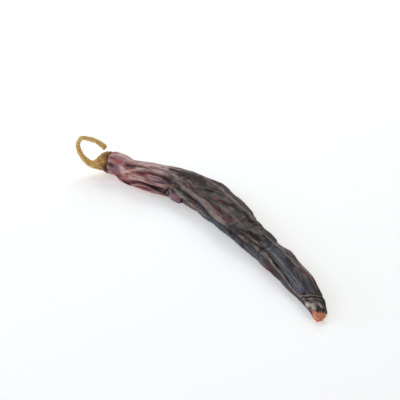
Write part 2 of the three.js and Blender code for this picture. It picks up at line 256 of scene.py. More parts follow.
# sharp lines: a bent line of places, mm high (below 0 for a groove), mm wide
creases = {
    "nearRim": ([(0.06, 4.2), (0.11, 3.98), (0.14, 3.76), (0.17, 3.74), (0.2, 3.84), (0.245, 3.94)],
        0.6, 0.6),
    "nearRimGroove": ([(0.09, 3.95), (0.14, 3.52), (0.18, 3.55), (0.23, 3.66)], -0.6, 0.55),
    "underEye": ([(0.07, 4), (0.12, 3.41), (0.163, 3.27), (0.207, 3.36), (0.25, 3.06)], 0.6, 0.85),
    "overEye": ([(0.08, 3.4), (0.105, 3), (0.132, 2.5), (0.17, 2.24), (0.205, 2.14), (0.25, 2.3)],
        0.75, 0.7),
    "overEyeGroove": ([(0.08, 2.7), (0.13, 2.15), (0.18, 2.02), (0.235, 2.04)], -0.5, 0.6),
    "topLine": ([(0.07, 2.3), (0.13, 1.82), (0.185, 1.8), (0.233, 1.8), (0.27, 1.95)], 0.6, 0.7),
    "farRidge": ([(0.06, 1.5), (0.12, 1.3), (0.19, 1.25), (0.25, 1.45)], 0.5, 0.8),
    "farRidgeGroove": ([(0.07, 1.1), (0.14, 1), (0.2, 0.95)], -0.5, 0.7),
    "pinchGroove": ([(0.245, 4), (0.243, 3.6), (0.25, 3.2), (0.262, 2.8)], -0.54, 0.6),
    "gatherRidge": ([(0.262, 3.9), (0.266, 3.4), (0.27, 2.9), (0.262, 2.3)], 0.36, 0.7),
    "flapRidge": ([(0.262, 3), (0.285, 3.3), (0.3, 3.7), (0.31, 4)], 0.3, 0.5),
    "flapGroove": ([(0.318, 4), (0.31, 3.5), (0.3, 3.1)], -0.42, 0.6),
    "smallFoldOne": ([(0.368, 1.52), (0.385, 1.42), (0.408, 1.25)], -0.4, 0.65),
    "smallFoldTwo": ([(0.455, 1.4), (0.477, 1.32), (0.498, 1.2)], -0.4, 0.65),
    "smallFoldThree": ([(0.478, 1.18), (0.508, 1.26), (0.54, 1.3)], -0.4, 0.65),
    "farLine": ([(0.33, 0.32), (0.42, 0.22), (0.5, 0.28), (0.56, 0.42)], 0.4, 0.6),
    "farGroove": ([(0.33, 0.3), (0.42, 0.35), (0.5, 0.35), (0.56, 0.4)], -0.15, 0.6),
    "crestOne": ([(0.262, 2.2), (0.3, 2.3), (0.337, 2.34), (0.397, 2.32), (0.44, 2.5), (0.472, 2.72),
        (0.51, 2.85), (0.55, 2.92), (0.6, 3.05), (0.64, 3.2), (0.7, 3.2)], 0.85, 1.1),
    "crestOneGroove": ([(0.285, 2.6), (0.34, 2.64), (0.39, 2.74), (0.43, 2.98), (0.48, 3.25),
        (0.54, 3.35)], -0.7, 0.7),
    "crestTwo": ([(0.275, 2.8), (0.313, 2.92), (0.35, 3.1), (0.393, 3.36), (0.43, 3.58), (0.47, 3.7)],
        0.7, 0.8),
    "crestTwoGroove": ([(0.315, 3.25), (0.35, 3.42), (0.385, 3.62)], -0.5, 0.55),
    "crestThree": ([(0.37, 1.9), (0.4, 2), (0.435, 2.2), (0.465, 2.3), (0.5, 2.5)], 0.45, 0.6),
    "edgeRidge": ([(0.32, 3.5), (0.337, 3.56), (0.393, 3.79), (0.432, 3.79), (0.482, 3.71), (0.52, 3.64),
        (0.57, 3.7), (0.63, 3.75)], 0.55, 0.8),
    "notch": ([(0.575, 0), (0.583, 0.3), (0.59, 0.6)], -0.54, 0.7),
    "tailCrest": ([(0.72, 2.5), (0.75, 2.7), (0.787, 3.2), (0.84, 3.37), (0.9, 3.34)], 0.35, 0.55),
    "tailGroove": ([(0.72, 2.1), (0.75, 2.3), (0.787, 2.6), (0.84, 3.1), (0.89, 3.15)], -0.4, 0.55),
    "crossRidge": ([(0.906, 3.4), (0.915, 2.2), (0.924, 1), (0.926, 0)], 0.2, 0.4),
    "crossGroove": ([(0.912, 3.4), (0.921, 2.2), (0.93, 1), (0.932, 0)], -0.28, 0.4),
    "tipLine": ([(0.935, 2.4), (0.955, 2.2), (0.985, 1.9)], 0.3, 0.5),
}
smallCreases = {"count": 90, "length": (4, 13), "lean": 0.12, "size": 0.15, "wide": (0.5, 0.9)}
# the round mark on the shoulder: a groove round a raised floor, with a rim outside it
eyeRing = {"long": 6.6, "wide": 1.9, "groove": 0.36, "spread": 0.34, "floor": 0.3, "floorEdge": (0.9, 0.4),
           "rim": 0.3, "rimAt": 1.6, "rimWide": 0.4}
swells = {"long": 0.1, "round": 0.16, "size": 0.9}  # slow bulges, waves to the mm
warp = {"size": 1.1, "waves": ((0.34, 0.5), (0.19, -0.42), (0.61, 0.9))}  # makes the hollows uneven

# marks on the skin, real stains and painted light together: a bent line of places or a crease to follow,
# mm to either side, and how strong
stains = {
    # a bluish grey bloom with a painted bluish sheen on the near flank and in the tail's channel
    "slateAndSheen": [([(0.42, 3.6), (0.5, 3.85), (0.62, 3.9), (0.72, 3.75)], 1.7, 0.8),
        ([(0.7, 1.5), (0.78, 1.6), (0.835, 1.75), (0.89, 1.9)], 2, 0.9),
        ([(0.3, 3.2), (0.36, 3.5)], 1.2, 0.7)],
    "taupe": [([(0.22, 1.3), (0.27, 1.5), (0.33, 1.75)], 4.5, 0.8),
        ([(0.38, 1.3), (0.45, 1.2), (0.54, 1)], 3.5, 0.35),
        ([(0.36, 2), (0.44, 2.1), (0.55, 2.2)], 2.2, 0.6)],
    "brown": [([(0.012, 0.2), (0.012, 2), (0.012, 3.9)], 1.1, 0.7),
        ([(0.012, 3.9), (0.012, 5.4)], 1.4, 0.9)],
    "rose": [([(0.042, 2.5), (0.052, 2.75), (0.065, 3)], 1.3, 1),
        ([(0.05, 2.3), (0.08, 2.7), (0.1, 3.1)], 0.7, 0.7),
        ([(0.145, 2.75), (0.175, 2.5), (0.205, 2.45)], 0.8, 1), ([(0.1, 2), (0.16, 1.9)], 0.8, 0.6),
        ([(0.07, 3.7), (0.13, 3.9), (0.2, 4)], 0.8, 0.5)],
    "crimson": [([(0.236, 3.95), (0.246, 3.7)], 0.9, 1), ([(0.09, 1.2), (0.15, 1.1)], 1.2, 0.5),
        ([(0.31, 2), (0.35, 1.85), (0.39, 1.75)], 1.9, 0.5), ([(0.427, 1.95), (0.472, 1.85)], 1.6, 0.9),
        ([(0.5, 2), (0.55, 1.8)], 1.8, 0.85), ([(0.42, 1.5), (0.45, 1.4)], 1, 0.7),
        ([(0.3, 3.9), (0.34, 4), (0.38, 4.05)], 0.9, 0.8), ([(0.11, 4.15), (0.2, 4.1)], 0.9, 0.5),
        ([(0.8, 0.3), (0.86, 0.4)], 1.2, 0.6), ([(0.72, 3.9), (0.78, 3.95)], 0.8, 0.6)],
    # painted highlights: pale lines along the crests, the far rim and the cross crease, and a paler tip
    # where its gloss catches the light
    "ashAndHighlight": [([(0.262, 2.2), (0.3, 2.3), (0.337, 2.34), (0.397, 2.32), (0.44, 2.5), (0.472, 2.72),
         (0.55, 2.92)], 0.75, 0.8),
        ([(0.275, 2.8), (0.313, 2.92), (0.35, 3.1), (0.393, 3.36), (0.47, 3.7)], 0.55, 0.75),
        ([(0.33, 0.9), (0.4, 0.95), (0.47, 0.9), (0.54, 0.5)], 0.8, 0.7),
        ([(0.42, 2.15), (0.47, 2.35), (0.52, 2.6)], 1, 0.7), ([(0.24, 1.7), (0.27, 2)], 2.4, 0.6),
        ([(0.27, 1.5), (0.3, 1.55), (0.335, 1.6)], 2.6, 0.28), ("tailCrest", 0.4, 0.7),
        ([(0.69, 0.3), (0.73, 0.27), (0.81, 0.12), (0.862, 0.2), (0.9, 0.25)], 0.4, 0.5),
        ([(0.7, 0.65), (0.75, 0.55), (0.81, 0.45)], 1.2, 0.45), ("crossRidge", 0.25, 0.6),
        ([(0.917, 3.4), (0.926, 2.2), (0.936, 1), (0.938, 0)], 0.25, 0.4),
        ([(0.945, 3.2), (0.952, 1.9), (0.955, 0.6)], 1.1, 0.5)],
    # painted shade: dark lines in the tail's grooves and along the cross crease
    "shade": [([(0.72, 1.05), (0.78, 1), (0.833, 1), (0.882, 1), (0.903, 1.6)], 0.5, 0.8),
        ("tailGroove", 0.4, 0.8), ("crossGroove", 0.25, 0.7)],
    "amber": [([(0.108, 2.95), (0.115, 2.75)], 1, 0.9), ([(0.315, 0.95), (0.325, 0.9)], 0.8, 0.4)],
    # a lighter bluish grey with a painted bluish sheen in the tail's channel
    "steelAndSheen": [([(0.71, 1.5), (0.76, 1.65), (0.8, 1.8), (0.845, 2), (0.885, 2.2)], 1.3, 0.9),
        ([(0.85, 0.6), (0.88, 0.65), (0.905, 0.6)], 1.2, 0.7)],
    "plum": [([(0.022, 3.1), (0.03, 3.45), (0.045, 3.6)], 1.3, 0.8)],
    "lilac": [([(0.045, 3.5), (0.062, 3.2)], 1.5, 0.7), ([(0.172, 2.78), (0.232, 2.68)], 1.3, 0.8),
        ([(0.275, 3.5), (0.3, 3.8)], 1.6, 0.7)],
    # painted highlights on the shoulder
    "paleHighlight": [([(0.075, 3), (0.085, 3.25)], 1.5, 1), ([(0.03, 2), (0.045, 2.15)], 1, 0.7),
        ([(0.11, 3.35), (0.16, 3.2)], 0.8, 0.7), ([(0.13, 2.4), (0.17, 2.15), (0.21, 2.1)], 1.6, 0.6),
        ([(0.05, 1.6), (0.13, 1.4), (0.2, 1.3)], 3.2, 0.6)],
    # painted highlights on the glossy tip
    "shine": [([(0.941, 3.3), (0.95, 2.7)], 0.7, 0.6), ([(0.955, 1.8), (0.966, 1.9)], 0.8, 0.65),
        ([(0.956, 0.6), (0.963, 0.5)], 0.6, 0.55)],
}
tip = {"torn": 140.6, "jag": 1.6, "waves": ((1, 0.8, 1), (0.6, 1.7, 0), (0.4, 5.3, 2)), "fade": 0.7,
       "sunk": 0.35, "ribs": 0.25, "ribsRound": 1.7}

# the skin creases as cloth does when there is more of it than the dried pod has room for
drying = {
    "scale": 0.1,  # cloth units to the mm
    "frames": 20,
    "growth": [[0, 0.06], [0.25, 0.05], [0.35, 0.028], [0.56, 0.028], [0.7, 0.026], [1, 0.018]],
    "growthRound": [[0, 0.8], [0.5, 1], [2, 1], [3, 0.6], [4.2, 0.6], [5, 0.8], [7, 0.8]],
    "squeeze": [[0, 0.045], [0.58, 0.045], [0.7, 0.02], [1, 0.015]],  # starts this much shorter
    "drawOut": 4,  # frames over which it gets its length back
    # how firmly each point is held: everywhere, then more on the folds, the edges, the sole and the tail
    "hold": 0.09,
    "foldHold": 0.1,
    "foldWide": 0.12,
    "edgeHold": 0.3,
    "edgeWide": 0.25,
    "soleHold": 0.4,
    "soleFrom": 0.8,  # turns beyond the near edge
    "tailHold": 0.6,
    "tailFrom": (0.62, 0.72),
    "seatHeld": (0.05, 0.02),
    "tipHeld": (0.965, 0.985),
    "limit": 1.5,  # mm that a point may move
    "cloth": {"quality": 6, "mass": 0.3, "tension_stiffness": 20, "compression_stiffness": 20,
              "shear_stiffness": 10, "bending_stiffness": 12, "bending_damping": 0.5, "air_damping": 2,
              "pin_stiffness": 1},
}
fine = {"scales": (0.35, 0.7), "sizes": (0.08, 0.035), "stretch": (1.6, 1.3), "fromSeat": (0.3, 3)}
thinSkin = (44, 16)  # mm from the seat where the thin pink skin ends and where it is full


# where fold number index crosses each station: mm across, mm up
def foldLine(index, station):
    run = folds[foldNames[index]]["run"]
    halfWidth = pod["width"] / 2 * along(pod["halfWidths"], station)

    def wave(shift):
        slow = np.sin(wander["slow"] * station + wander["perFold"] * index + shift)
        return slow + 0.6 * np.sin(wander["quick"] * station + 2 * wander["perFold"] * index + shift)

    across = halfWidth * along(run, station, 1) + wander["across"] * wave(0)
    height = pod["height"] * along(run, station, 2)
    if index < nearEdge:
        height = height + wander["height"] * wave(2)
    return across, height


# the plain skin: stations down the rows, turns along the columns
def podSection(station, turns):
    count = len(foldNames)
    lines = [foldLine(index, station) for index in range(count)]
    across = np.empty((len(station), len(turns)))
    height = np.empty_like(across)
    for column, turn in enumerate(turns):
        index = int(turn) % count
        share = turn - int(turn)
        fromAcross, fromHeight = lines[index]
        toAcross, toHeight = lines[(index + 1) % count]
        stepAcross, stepHeight = toAcross - fromAcross, toHeight - fromHeight
        wide = np.hypot(stepAcross, stepHeight)
        sag = 4 * share * (1 - share) * along(folds[foldNames[index]]["sag"], station)
        across[:, column] = fromAcross + stepAcross * share - stepHeight / wide * sag
        height[:, column] = fromHeight + stepHeight * share + stepAcross / wide * sag
    seatAngles = [folds[name]["seatAngle"] for name in foldNames] + [360]
    angle = np.radians(np.interp(turns, np.arange(count + 1), seatAngles))
    pleatSize = pleats["height"] * np.exp(-station / pleats["fade"]) * smoothStep(station, 0, 0.03)
    radius = pod["seatRadius"] + pleatSize[:, None] * np.cos(pleats["count"] * angle)
    folded = smoothStep(station, 0, pod["seatFade"])[:, None]
    across = radius * np.cos(angle) * (1 - folded) + across * folded
    height = (pod["seatHeight"] + radius * np.sin(angle)) * (1 - folded) + height * folded
    for edge, at, out, before, after in tucks.values():
        fold = foldNames.index(edge)
        run = (station - at) * pod["chord"]
        rise = np.maximum(0, 1 - np.where(run < 0, -run / before, run / after))
        away = np.minimum(np.abs(turns - fold), count - np.abs(turns - fold))
        out = -out if fold == nearEdge else out
        across = across + out * rise[:, None] * np.exp(-away / tuckReach)[None, :]
    for _ in range(pod["rounding"]):
        across = across + 0.25 * (np.roll(across, 1, 1) + np.roll(across, -1, 1) - 2 * across)
        height = height + 0.25 * (np.roll(height, 1, 1) + np.roll(height, -1, 1) - 2 * height)
    return across, height


def podMiddle(station):
    return alongAll(pod["middleLine"], station) * (pod["chord"], 1)


def podAhead(station):
    step = 0.004
    return unit(podMiddle(np.minimum(1, station + step)) - podMiddle(np.maximum(0, station - step)))


seatMiddle, tipMiddle = podMiddle(np.array([0.0, 1]))
seatAhead, tipAhead = podAhead(np.array([0.0, 1]))


# stands the section's (across, height) up on the middle line
def podPlace(station, across, height):
    ahead = podAhead(station)
    middle = podMiddle(station)
    x = middle[:, 0, None] - ahead[:, 1, None] * across
    y = middle[:, 1, None] + ahead[:, 0, None] * across
    return np.stack([x, y, height], -1)


def podStations(count, endRings):
    quarter = 1 - np.cos(math.pi / 2 * np.arange(1, endRings + 1) / endRings)
    body = pod["seatRound"] + (1 - pod["seatRound"] - pod["tipRound"]) * np.arange(1, count) / count
    return np.concatenate([pod["seatRound"] * quarter, body, (1 - pod["tipRound"] * quarter)[::-1]])


def endRounding(station):
    seat = np.minimum(1, station / pod["seatRound"])
    tip = np.minimum(1, (1 - station) / pod["tipRound"])
    return np.sqrt(1 - (1 - seat)**2) * np.sqrt(np.maximum(0, 1 - (1 - tip)**2))


def podCore(station):
    return pod["seatHeight"] + (pod["tipHeight"] - pod["seatHeight"]) * smoothStep(station, 0.5, 1)


# the skin unrolled: mm along the pod, and mm round it from the top fold
class Unrolled:
    def __init__(self, station, turns, across, height):
        self.station = station
        self.turns = np.where(turns > bottomTurn, turns - len(foldNames), turns)
        steps = np.hypot(np.roll(across, -1, 1) - across, np.roll(height, -1, 1) - height)
        arc = np.cumsum(steps, 1) - steps
        arc = arc - arc[:, [np.searchsorted(turns, topFold)]]
        self.table = np.where(turns > bottomTurn, arc - steps.sum(1, keepdims=True), arc)
        self.long = station[:, None] * pod["length"] + 0 * across
        self.round = self.table

    # the same skin seen at other points
    def at(self, long, round_):
        other = copy.copy(self)
        other.long, other.round = long, round_
        return other

    def spot(self, place):
        ring = self.table[np.abs(self.station - place[0]).argmin()]
        turn = place[1] - len(foldNames) if place[1] > bottomTurn else place[1]
        order = np.argsort(ring)
        return place[0] * pod["length"], np.interp(turn, self.turns[order], ring[order])

    # distance to a place, where the oval round it has the distance 1
    def toSpot(self, place, long, wide):
        middle = self.spot(place)
        return np.hypot((self.long - middle[0]) / long, (self.round - middle[1]) / wide)

    # distance to a bent line of places, and how far along the line the nearest point is
    def toLine(self, places):
        spots = [self.spot(place) for place in places]
        best = np.full(self.long.shape, 1e3)
        share = np.zeros_like(best)
        for index, (start, end) in enumerate(zip(spots, spots[1:])):
            stepLong, stepRound = end[0] - start[0], end[1] - start[1]
            reach = (self.long - start[0]) * stepLong + (self.round - start[1]) * stepRound
            t = np.clip(reach / (stepLong**2 + stepRound**2), 0, 1)
            away = np.hypot(self.long - start[0] - t * stepLong, self.round - start[1] - t * stepRound)
            share = np.where(away < best, (index + t) / (len(spots) - 1), share)
            best = np.minimum(best, away)
        return best, share


def creaseRelief(skin, run, size, wide):
    away, share = skin.toLine(run)
    return size * bell(away, 0, wide) * np.sqrt(np.sin(np.pi * np.clip(share, 0, 1)))


# how far the skin is sunk or swollen before it dries
def podHollows(skin):
    relief = np.zeros_like(skin.long)
    sway = warp["size"] * sum(np.sin(long * skin.long + round_ * skin.round)
                              for long, round_ in warp["waves"])
    uneven = skin.at(skin.long + sway, skin.round + sway / 3)
    for place, long, wide, depth, rim in hollows.values():
        away = uneven.toSpot(place, long, wide)
        relief -= depth * smoothStep(away, *hollowShape["edge"])
        relief += rim * bell(away, hollowShape["rimAt"], hollowShape["rimWide"])
    swell = [noise.noise(Vector((long * swells["long"], round_ * swells["round"], seed)))
             for long, round_ in zip(skin.long.ravel(), skin.round.ravel())]
    return relief + swells["size"] * np.reshape(swell, relief.shape)


# how far the sharp creases stand out or in
def podCreases(skin):
    relief = sum(creaseRelief(skin, *crease) for crease in creases.values())
    away = skin.toSpot(hollows["eye"][0], eyeRing["long"], eyeRing["wide"])
    relief -= eyeRing["groove"] * bell(away, 1, eyeRing["spread"])
    relief += eyeRing["floor"] * smoothStep(away, *eyeRing["floorEdge"])
    relief += eyeRing["rim"] * bell(away, eyeRing["rimAt"], eyeRing["rimWide"])
    draw = np.random.default_rng(seed)
    for _ in range(smallCreases["count"]):
        start = np.array([draw.uniform(0.02, 0.95), draw.uniform(0, len(foldNames))])
        length = draw.uniform(*smallCreases["length"]) / pod["length"]
        bend = draw.normal(0, smallCreases["lean"], 2)
        size = draw.normal(0, smallCreases["size"])
        wide = draw.uniform(*smallCreases["wide"])
        run = [start, start + (length / 2, bend[0]), start + (length, bend[1])]
        run = [(at[0], at[1] % len(foldNames)) for at in run]
        if max(at[1] for at in run) - min(at[1] for at in run) < 1:
            relief += creaseRelief(skin, run, size, wide)
    ribs = tip["ribs"] * np.abs(np.sin(tip["ribsRound"] * skin.round + 0.3 * skin.long))
    return relief + (ribs - tip["sunk"]) * tornPart(skin)


# 1 where the tip is torn open
def tornPart(skin):
    jag = sum(size * np.sin(pace * skin.round + shift) for size, pace, shift in tip["waves"])
    return smoothStep(skin.long + tip["jag"] * jag / 2, tip["torn"], tip["torn"] + tip["fade"])


def stainMask(skin, spots):
    mask = np.zeros_like(skin.long)
    for run, wide, amount in spots:
        away = skin.toLine(creases[run][0] if isinstance(run, str) else run)[0]
        mask = np.maximum(mask, amount * smoothStep(away, 1.9 * wide, 0.1 * wide))
    return mask


def weighGroup(piece, name, weights):
    group = piece.vertex_groups.new(name=name)
    for index, weight in enumerate(weights):
        group.add([index], float(weight), "REPLACE")
    return name


# lets the skin grow a little as cloth; held near the dried pod's shape, it has to buckle and crease
def wrinkleAsCloth(rows, squeezed, count, around, hold, growth):
    piece = addTube("dryingSkin", squeezed, count, around, drying["scale"])
    piece.shape_key_add(name="squeezed")
    full = piece.shape_key_add(name="full")
    full.data.foreach_set("co", (rows * drying["scale"]).ravel())
    for step, value in ((1, 0), (1 + drying["drawOut"], 1)):
        full.value = value
        full.keyframe_insert("value", frame=step)
    cloth = piece.modifiers.new("drying", "CLOTH")
    settings = cloth.settings
    for key, value in drying["cloth"].items():
        setattr(settings, key, value)
    settings.vertex_group_mass = weighGroup(piece, "hold", hold)
    settings.vertex_group_shrink = weighGroup(piece, "stay", 1 - growth / growth.max())
    settings.shrink_min = -growth.max()
    settings.shrink_max = 0
    settings.effector_weights.gravity = 0
    cloth.collision_settings.use_collision = False
    cloth.point_cache.frame_start = 1
    cloth.point_cache.frame_end = drying["frames"]
    for step in range(1, drying["frames"] + 1):
        bpy.context.scene.frame_set(step)
    points = readPoints(evaluatedMesh(piece), drying["scale"])
    bpy.data.objects.remove(piece)
    bpy.context.scene.frame_set(1)
    move = points - rows
    far = np.linalg.norm(move, axis=1, keepdims=True)
    print("skin wrinkled, moved mm", far.mean().round(2), "most", far.max().round(2))
    return rows + move * np.minimum(1, drying["limit"] / np.maximum(far, 1e-6))


# how sharply the skin bends at each point: above 0 on ridges, below 0 in grooves
def foldSharpness(mesh, passes=3):
    points, normals = readPoints(mesh), readNormals(mesh)
    ends = np.empty(2 * len(mesh.edges), int)
    mesh.edges.foreach_get("vertices", ends)
    start, end = ends.reshape(-1, 2).T
    near = np.bincount(start, minlength=len(points)) + np.bincount(end, minlength=len(points))

    def neighbours(values):
        return np.bincount(start, values[end], len(points)) + np.bincount(end, values[start], len(points))

    gap = np.linalg.norm(points[start] - points[end], axis=1)
    spread = (np.bincount(start, gap, len(points)) + np.bincount(end, gap, len(points))) / near
    pull = np.stack([neighbours(points[:, axis]) / near - points[:, axis] for axis in range(3)], -1)
    sharp = -(pull * normals).sum(1) / np.maximum(spread, 1e-6)**2
    for _ in range(passes):
        sharp = 0.5 * sharp + 0.5 * neighbours(sharp) / near
    return sharp


# how firmly the cloth is held at each point, from 0 to 1
def dryingHold(station, turns):
    nearFold = np.abs(turns - np.round(turns))
    hold = drying["hold"] + drying["foldHold"] * np.exp(-nearFold / drying["foldWide"])
    for edge in (0, nearEdge, len(foldNames)):
        hold = hold + drying["edgeHold"] * np.exp(-np.abs(turns - edge) / drying["edgeWide"])
    hold = np.where(turns > nearEdge + drying["soleFrom"], drying["soleHold"], hold)
    ends = np.maximum(smoothStep(station, *drying["seatHeld"]), smoothStep(station, *drying["tipHeld"]))
    ends = np.maximum(ends, drying["tailHold"] * smoothStep(station, *drying["tailFrom"]))
    return np.clip(hold + ends[:, None], 0, 1)


# creases, the torn tip and the fine grain, cut into the smoothed skin
def carvePod(mesh, skin):
    points, normals = readPoints(mesh), readNormals(mesh)
    points += normals * (podCreases(skin) * smoothStep(skin.long, *fine["fromSeat"]))[:, None]
    setPoints(mesh, points)
    normals = readNormals(mesh)
    grain = np.stack([readMask(mesh, name) for name in ("length", "side", "height")], -1)
    for scale, size, stretch in zip(fine["scales"], fine["sizes"], fine["stretch"]):
        wave = ridged(grain, scale, stretch)
        points += normals * (size * (wave - wave.mean()))[:, None]
    points[:, 2] = np.maximum(points[:, 2], 0)
    setPoints(mesh, points)


def buildPod():
    station = podStations(pod["rings"], pod["endRings"])
    columns = [folds[name]["steps"] * pod["finer"] for name in foldNames]
    turns = np.concatenate([index + np.arange(count) / count for index, count in enumerate(columns)])
    across, height = podSection(station, turns)
    skin = Unrolled(station, turns, across, height)
    core = podCore(station)[:, None]
    rounding = endRounding(station)[:, None]
    plain = podPlace(station, across * rounding, core + (height - core) * rounding)
    normals = unit(np.cross(np.roll(plain, -1, 1) - np.roll(plain, 1, 1), np.gradient(plain, axis=0)))
    rings = plain + normals * (podHollows(skin) * rounding)[..., None]
    rings[..., 2] = np.maximum(rings[..., 2], 0)
    first = [*seatMiddle, pod["seatHeight"]]
    last = [*tipMiddle, pod["tipHeight"]]
    rows = tubeRows(rings, first, last)
    growth = along(drying["growth"], station)[:, None] * along(drying["growthRound"], turns)
    lost = np.cumsum(along(drying["squeeze"], station) * np.gradient(station)) * pod["chord"]
    squeezed = tubeRows(rings - lost[:, None, None] * (1, 0, 0), first, (last[0] - lost[-1], *last[1:]))
    rows = wrinkleAsCloth(rows, squeezed, *across.shape, tubeValues(dryingHold(station, turns), 1, 1),
                          tubeValues(growth, 0, 0))
    rows[:, 2] = np.maximum(rows[:, 2], 0)
    piece = addTube("podSkin", rows, *across.shape)
    flat = {
        "length": (skin.long, 0, pod["length"]),
        "round": (skin.round, 0, 0),
        "side": (across, 0, 0),
        "height": (height, pod["seatHeight"], pod["tipHeight"]),
    }
    for name, values in flat.items():
        addMask(piece.data, name, tubeValues(*values))
    smoother = piece.modifiers.new("smoother", "SUBSURF")
    smoother.levels = smoother.render_levels = 1
    mesh = evaluatedMesh(piece)
    piece.data = mesh
    piece.modifiers.clear()
    skin = skin.at(readMask(mesh, "length"), readMask(mesh, "round"))
    carvePod(mesh, skin)
    addMask(mesh, "sharp", foldSharpness(mesh))
    addMask(mesh, "thin", smoothStep(skin.long + 3 * np.sin(0.7 * skin.round), *thinSkin))
    addMask(mesh, "torn", tornPart(skin))
    for name, spots in stains.items():
        addMask(mesh, name, stainMask(skin, spots))
    low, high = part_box("pod")
    shift = [(low[axis] + high[axis]) / 2 - (plain[..., axis].max() + plain[..., axis].min()) / 2 * mm
             for axis in (0, 1)]
    return piece, Vector((*shift, 0))


# thin strips of skin and flesh: left and right edges from root to end, in mm
flaps = {
    "pinchFlap": {"left": [(37.4, 7.4, 4.2), (40.1, 6.7, 4.0), (42.7, 7.1, 3.7), (44.6, 7.9, 3.3)],
                  "right": [(39.0, 9.4, 6.0), (41.8, 10.0, 6.2), (44.2, 9.7, 6.0), (44.8, 8.3, 3.6)],
                  "thick": 0.15, "bulge": -0.4, "masks": {"thin": 0.45, "lilac": 0.4}},
    "tipFlap": {"left": [(128.8, 11.6, 4.0), (131.3, 11.2, 3.4), (133.8, 9.9, 2.2), (136.2, 8.7, 0.6)],
                "right": [(128.6, 13.5, 2.6), (131.4, 12.9, 2.2), (134.0, 10.8, 1.3), (136.4, 8.9, 0.5)],
                "thick": 0.18, "bulge": -0.3, "masks": {}},
}
fibres = {"count": 18, "length": (0.7, 1.7), "wide": (0.12, 0.32), "thick": 0.06, "taper": 0.85,
          "bend": 0.35, "steps": 5, "out": (1.1, 1.3), "height": (0.3, 2.1), "back": 0.8}


def ribbon(name, left, right, thick, bulge, masks, around=16):
    keys = np.linspace(0, 1, len(left))
    place = np.linspace(0, 1, 4 * len(left))
    left, right = (alongAll(np.column_stack([keys, side]), place) for side in (left, right))
    out = unit(np.cross(right - left, np.gradient(left + right, axis=0)))
    swing = 2 * np.pi * np.arange(around) / around
    share = (1 - np.cos(swing)) / 2
    rings = left[:, None] + (right - left)[:, None] * share[None, :, None]
    lift = bulge * np.sin(np.pi * share) + thick * np.sin(swing)
    rings = rings + out[:, None] * lift[None, :, None]
    rows = tubeRows(rings, (left[0] + right[0]) / 2, (left[-1] + right[-1]) / 2)
    rows[:, 2] = np.maximum(rows[:, 2], 0)
    piece = addTube(name, rows, len(rings), around)
    for mask, value in masks.items():
        addMask(piece.data, mask, np.full(len(rows), float(value)))
    for axis, mask in enumerate(("length", "side", "height")):
        addMask(piece.data, mask, rows[:, axis])
    return piece


def podStrips():
    pieces = [ribbon(name, **flap) for name, flap in flaps.items()]
    draw = np.random.default_rng(seed + 2)
    end = podMiddle(np.array([0.99]))[0]
    sideways = np.array([-tipAhead[1], tipAhead[0]])
    for _ in range(fibres["count"]):
        spread, lift = draw.uniform(-1, 1), draw.uniform(0.1, 1)
        out = (fibres["out"][0] + fibres["out"][1] * lift) * spread  # the torn end is wider higher up
        root = end + sideways * out - tipAhead * fibres["back"] * abs(spread)
        start = np.array([*root, fibres["height"][0] + fibres["height"][1] * lift])
        reach = draw.uniform(*fibres["length"])
        heading = np.array([*(tipAhead + sideways * 0.4 * spread), -0.5 * lift + 0.2])
        step = np.linspace(0, 1, fibres["steps"])[:, None]
        middle = start + unit(heading) * reach * step + draw.normal(0, fibres["bend"], 3) * step**2
        wide = draw.uniform(*fibres["wide"]) * (1 - fibres["taper"] * step)
        wide = wide * unit(np.array([*sideways, draw.normal(0, 0.5)]))
        pieces.append(ribbon("fibre", middle - wide, middle + wide, fibres["thick"], 0, {"torn": 1}, 6))
    return pieces


podSkin, origin = buildPod()
strips = podStrips()
with bpy.context.temp_override(active_object=podSkin, selected_editable_objects=[podSkin, *strips]):
    bpy.ops.object.join()
podSkin.data.transform(Matrix.Translation(origin))
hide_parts("pod")
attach(podSkin, "root")
print("pod built with", len(podSkin.data.polygons), "faces, shifted by", tuple(origin))


# mm in the pod's own frame; the line starts inside the calyx cup and ends at the broken end of the stalk
stem = {
    "line": [[1.4, 0.7, 6.8], [0, -0.1, 6.5], [-1.6, -1.3, 5.9], [-3.2, -2.9, 5.2], [-4.8, -4.7, 4.9],
             [-6.6, -6.3, 5.9], [-9.7, -8, 9.6], [-11.7, -8.2, 14.2], [-11, -6.6, 17.9],
             [-9.5, -5.5, 18.7], [-5, -2.4, 18], [-1.7, -0.4, 15.8], [-0.8, 0.1, 14.9]],
    "widths": [[0, 5.5, 5.4], [0.04, 5.4, 5.3], [0.065, 5, 4.9], [0.092, 4.4, 4.25], [0.125, 3.6, 3.5],
               [0.161, 2.9, 2.8], [0.225, 2.05, 1.95], [0.29, 1.7, 1.6], [0.36, 1.45, 1.4],
               [0.45, 1.15, 1.1], [0.7, 1.05, 1], [0.85, 1.12, 1.05], [0.93, 1.35, 1.25], [1, 1.38, 1.28]],
    "rings": 300,
    "around": 84,
    "endRings": 6,
    "lipRings": 4,
    "cupRings": 6,
    "cupDepth": 0.011,  # station that the lip reaches to
    "cupGap": 0.3,
    "lip": 0.45,
    "teeth": {"count": 5, "length": 0.55, "ragged": 0.4, "reach": 0.11},
    "calyxRibs": {"count": 9, "height": 0.16, "twist": 3, "begins": (0, 0.05), "ends": (0.1, 0.3)},
    "stalkRibs": {"count": 5, "share": 0.13, "twist": 2.4, "begins": (0.15, 0.32)},
    "dent": {"at": 0.1, "angle": 120, "long": 0.05, "wide": 34, "depth": 0.6, "edge": (1.2, 0.3)},
    "lumps": {"size": 0.14, "scale": 0.6},
    "grain": {"size": 0.035, "scale": 2.2, "stretch": 3, "radius": 3},
    "brokenEnd": {"out": 0.35, "rough": 0.16, "sunk": 0.3},
    "knobs": ((0.47, 0.12, 0.02), (0.66, 0.1, 0.015), (0.81, 0.16, 0.02)),  # place, share, spread
}


